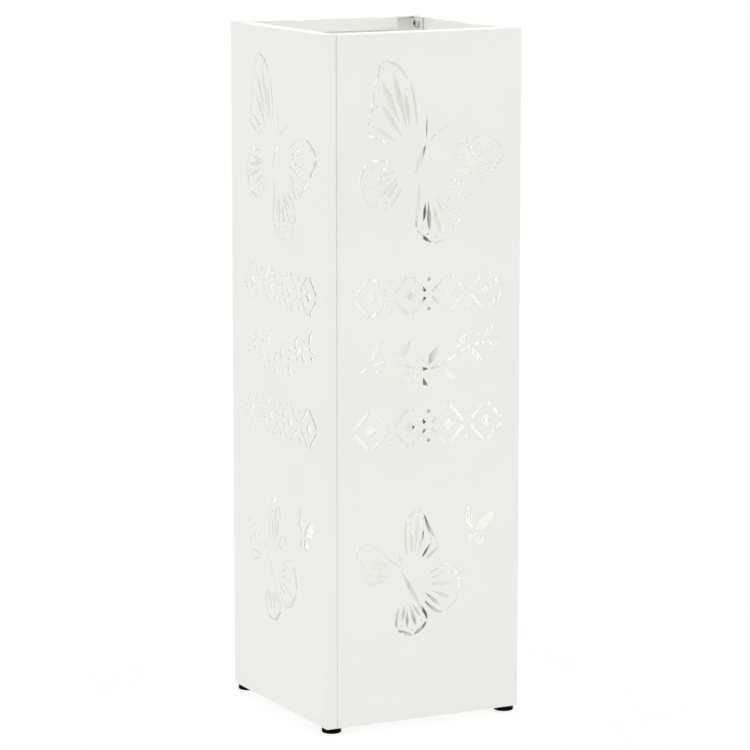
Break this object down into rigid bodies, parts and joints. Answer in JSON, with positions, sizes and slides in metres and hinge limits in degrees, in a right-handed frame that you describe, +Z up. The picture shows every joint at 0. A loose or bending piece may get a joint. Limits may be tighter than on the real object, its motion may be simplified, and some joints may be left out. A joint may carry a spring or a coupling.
{
  "type": "umbrella stand",
  "caption": "Tall square umbrella stand of folded steel panels with pierced butterfly and ornament cut-outs, a lift-out drip tray and screw-in feet.",
  "frame": {"origin": "on the floor, centred under the stand", "axes": "+Z up along the height, -Y the front, +X the right-hand side seen from the front"},
  "size_m": [0.155, 0.155, 0.4965],
  "materials": {
    "powder_coat": "fine-textured off-white powder coat on folded steel sheet",
    "tray_plastic": "moulded pale grey polypropylene, fine spark texture",
    "foot_plastic": "black moulded polyamide, slightly glossy",
    "zinc_steel": "bright zinc-plated steel"
  },
  "bodies": {
    "stand": {"front_right_panel": "powder_coat", "back_left_panel": "powder_coat", "base_plate": "powder_coat", "weld_nut_front_left": "zinc_steel", "weld_nut_front_right": "zinc_steel", "weld_nut_back_right": "zinc_steel", "weld_nut_back_left": "zinc_steel", "seam_bolts_front_left": "zinc_steel", "seam_bolts_back_right": "zinc_steel", "seam_washers_front_left": "zinc_steel", "seam_washers_back_right": "zinc_steel", "seam_nuts_front_left": "zinc_steel", "seam_nuts_back_right": "zinc_steel"},
    "tray": {"drip_tray": "tray_plastic"},
    "foot_front_left": {"foot_pad_front_left": "foot_plastic", "foot_screw_front_left": "zinc_steel"},
    "foot_front_right": {"foot_pad_front_right": "foot_plastic", "foot_screw_front_right": "zinc_steel"},
    "foot_back_right": {"foot_pad_back_right": "foot_plastic", "foot_screw_back_right": "zinc_steel"},
    "foot_back_left": {"foot_pad_back_left": "foot_plastic", "foot_screw_back_left": "zinc_steel"}
  },
  "joints": [
    {"name": "tray_lift", "type": "slide", "parent": "stand", "child": "tray", "axis": [0, 0, 1], "range_m": [0, 0.55]},
    {"name": "foot_screw_out_front_left", "type": "slide", "parent": "stand", "child": "foot_front_left", "axis": [0, 0, -1], "range_m": [0, 0.006]},
    {"name": "foot_screw_out_front_right", "type": "slide", "parent": "stand", "child": "foot_front_right", "axis": [0, 0, -1], "range_m": [0, 0.006]},
    {"name": "foot_screw_out_back_right", "type": "slide", "parent": "stand", "child": "foot_back_right", "axis": [0, 0, -1], "range_m": [0, 0.006]},
    {"name": "foot_screw_out_back_left", "type": "slide", "parent": "stand", "child": "foot_back_left", "axis": [0, 0, -1], "range_m": [0, 0.006]}
  ]
}
